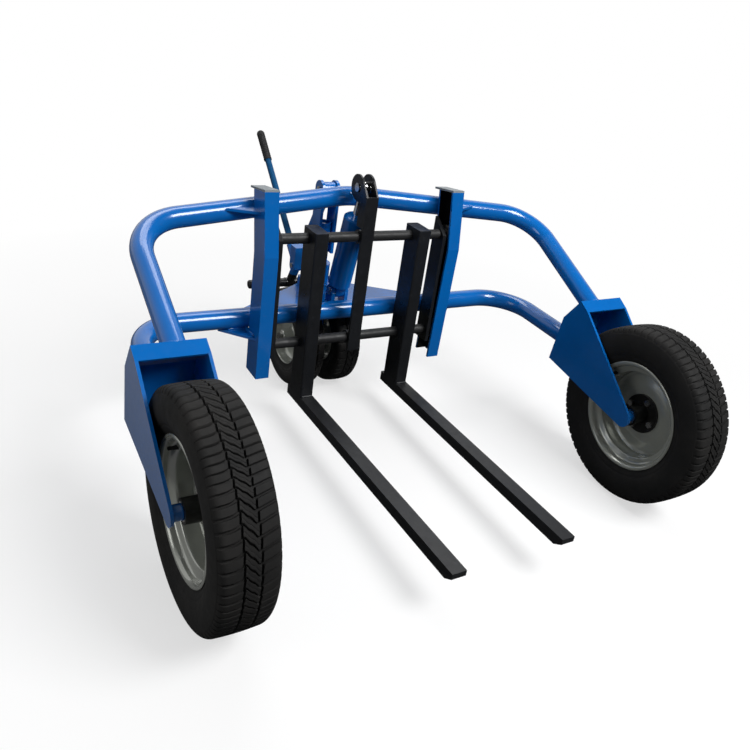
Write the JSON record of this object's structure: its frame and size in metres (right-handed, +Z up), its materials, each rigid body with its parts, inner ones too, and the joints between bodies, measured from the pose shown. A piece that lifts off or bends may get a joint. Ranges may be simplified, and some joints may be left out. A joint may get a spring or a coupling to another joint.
{
  "type": "all-terrain pallet truck",
  "caption": "Wide-track pallet truck for rough ground: tubular blue frame straddling the load on car-type wheels, hand-pumped fork carriage in a mast and steered rear wheels.",
  "frame": {"origin": "on the ground, in the middle of the overall width and length", "axes": "+X to the right seen from behind the fork tips, across the track; +Y rearwards from the fork tips to the tow handle; +Z up"},
  "size_m": [1.594, 1.4723, 0.8349],
  "materials": {
    "blue_paint": "gloss blue paint",
    "black_paint": "satin black paint",
    "grey_rim_paint": "gloss grey paint",
    "cap_grey": "dull grey steel",
    "tyre_rubber": "matte black rubber",
    "grip_rubber": "matte black rubber",
    "bright_steel": "bright turned steel",
    "chrome": "hard chrome",
    "black_plastic": "moulded knob"
  },
  "bodies": {
    "frame": {"lower_hoop": "blue_paint", "upper_hoop": "blue_paint", "left_column": "blue_paint", "right_column": "blue_paint", "column_caps": "cap_grey", "frame_gussets": "blue_paint", "platform_plate": "blue_paint", "head_tube": "blue_paint", "left_wheel_bracket": "blue_paint", "right_wheel_bracket": "blue_paint", "load_axles": "blue_paint", "cylinder_lugs": "blue_paint", "cylinder_base_pin": "bright_steel", "pump_body": "blue_paint"},
    "left_load_wheel": {"left_tyre": "tyre_rubber", "left_rim": "grey_rim_paint", "left_hub": "black_paint", "left_wheel_bearings": "bright_steel", "left_wheel_bolts": "bright_steel"},
    "right_load_wheel": {"right_tyre": "tyre_rubber", "right_rim": "grey_rim_paint", "right_hub": "black_paint", "right_wheel_bearings": "bright_steel", "right_wheel_bolts": "bright_steel"},
    "lift_bar": {"lower_fork_bar": "black_paint"},
    "carriage": {"left_side_plate": "black_paint", "right_side_plate": "black_paint", "upper_fork_bar": "black_paint", "lift_post": "black_paint"},
    "left_lower_roller": {"left_lower_roller": "bright_steel"},
    "right_lower_roller": {"right_lower_roller": "bright_steel"},
    "left_upper_roller": {"left_upper_roller": "bright_steel"},
    "right_upper_roller": {"right_upper_roller": "bright_steel"},
    "left_fork": {"left_fork_shank": "black_paint", "left_fork_blade": "black_paint"},
    "right_fork": {"right_fork_shank": "black_paint", "right_fork_blade": "black_paint"},
    "lift_cylinder": {"cylinder_barrel": "blue_paint", "cylinder_gland": "blue_paint"},
    "ram": {"piston_rod": "chrome", "lift_pin": "bright_steel"},
    "pump_lever": {"pump_shaft": "bright_steel", "pump_rocker": "blue_paint", "lever_socket": "blue_paint", "lever_rod": "blue_paint", "lever_grip": "grip_rubber"},
    "pump_plunger": {"pump_plunger": "chrome"},
    "release_valve": {"release_knob": "black_plastic"},
    "steering": {"steer_column": "blue_paint", "thrust_bearing": "bright_steel", "steer_leg": "blue_paint", "steer_axle": "bright_steel", "drawbar_pin": "bright_steel"},
    "left_steer_wheel": {"left_steer_tyre": "tyre_rubber", "left_steer_rim": "grey_rim_paint"},
    "right_steer_wheel": {"right_steer_tyre": "tyre_rubber", "right_steer_rim": "grey_rim_paint"},
    "drawbar": {"drawbar": "blue_paint", "tow_handle": "black_paint"}
  },
  "joints": [
    {"name": "left_load_wheel_spin", "type": "hinge", "parent": "frame", "child": "left_load_wheel", "pos_m": [-0.708, -0.45221, 0.284], "axis": [1, 0, 0], "continuous": true},
    {"name": "right_load_wheel_spin", "type": "hinge", "parent": "frame", "child": "right_load_wheel", "pos_m": [0.708, -0.45221, 0.284], "axis": [1, 0, 0], "continuous": true},
    {"name": "lift", "type": "slide", "parent": "frame", "child": "lift_bar", "axis": [0, 0, 1], "range_m": [-0.043, 0.105]},
    {"name": "carriage_tilt", "type": "hinge", "parent": "lift_bar", "child": "carriage", "pos_m": [0, 0.21629, 0.305], "axis": [1, 0, 0], "range_deg": [-3.3, 1.4]},
    {"name": "left_fork_slide", "type": "slide", "parent": "carriage", "child": "left_fork", "axis": [1, 0, 0], "range_m": [-0.088, 0.117]},
    {"name": "right_fork_slide", "type": "slide", "parent": "carriage", "child": "right_fork", "axis": [1, 0, 0], "range_m": [-0.142, 0.063]},
    {"name": "cylinder_swing", "type": "hinge", "parent": "frame", "child": "lift_cylinder", "pos_m": [0, 0.34479, 0.412], "axis": [1, 0, 0], "range_deg": [-6, 2.5]},
    {"name": "ram_extend", "type": "slide", "parent": "lift_cylinder", "child": "ram", "axis": [0, -0.213, 0.9771], "range_m": [-0.04, 0.1005]},
    {"name": "pump_stroke", "type": "hinge", "parent": "frame", "child": "pump_lever", "pos_m": [-0.152, 0.35179, 0.507], "axis": [1, 0, 0], "range_deg": [-30, 28]},
    {"name": "plunger_stroke", "type": "slide", "parent": "frame", "child": "pump_plunger", "axis": [0, 0, 1], "range_m": [-0.0195, 0.0185]},
    {"name": "release_turn", "type": "hinge", "parent": "frame", "child": "release_valve", "pos_m": [-0.081, 0.42779, 0.408], "axis": [0, 1, 0], "range_deg": [0, 180]},
    {"name": "steer", "type": "hinge", "parent": "frame", "child": "steering", "pos_m": [0, 0.49279, 0.4], "axis": [0, 0, 1], "range_deg": [-90, 90]},
    {"name": "left_steer_wheel_spin", "type": "hinge", "parent": "steering", "child": "left_steer_wheel", "pos_m": [-0.07, 0.49279, 0.175], "axis": [1, 0, 0], "continuous": true},
    {"name": "right_steer_wheel_spin", "type": "hinge", "parent": "steering", "child": "right_steer_wheel", "pos_m": [0.07, 0.49279, 0.175], "axis": [1, 0, 0], "continuous": true},
    {"name": "drawbar_fold", "type": "hinge", "parent": "steering", "child": "drawbar", "pos_m": [0, 0.49279, 0.71], "axis": [1, 0, 0], "range_deg": [0, 130]},
    {"name": "left_lower_roller_spin", "type": "hinge", "parent": "lift_bar", "child": "left_lower_roller", "pos_m": [0, 0.21629, 0.305], "axis": [1, 0, 0], "range_deg": [-215, 90]},
    {"name": "right_lower_roller_spin", "type": "hinge", "parent": "lift_bar", "child": "right_lower_roller", "pos_m": [0, 0.21629, 0.305], "axis": [1, 0, 0], "range_deg": [-215, 90]},
    {"name": "left_upper_roller_spin", "type": "hinge", "parent": "carriage", "child": "left_upper_roller", "pos_m": [0, 0.22387, 0.646], "axis": [1, 0, 0], "range_deg": [-90, 215]},
    {"name": "right_upper_roller_spin", "type": "hinge", "parent": "carriage", "child": "right_upper_roller", "pos_m": [0, 0.22387, 0.646], "axis": [1, 0, 0], "range_deg": [-90, 215]}
  ],
  "couplings": [
    {"joint": "carriage_tilt", "follows": "lift", "rad_per_m": -0.514},
    {"joint": "cylinder_swing", "follows": "lift", "rad_per_m": -0.93},
    {"joint": "ram_extend", "follows": "lift", "ratio": 0.9185},
    {"joint": "plunger_stroke", "follows": "pump_stroke", "m_per_rad": 0.036},
    {"joint": "left_lower_roller_spin", "follows": "lift", "rad_per_m": -33.333},
    {"joint": "right_lower_roller_spin", "follows": "lift", "rad_per_m": -33.333},
    {"joint": "left_upper_roller_spin", "follows": "lift", "rad_per_m": 33.333},
    {"joint": "right_upper_roller_spin", "follows": "lift", "rad_per_m": 33.333}
  ]
}
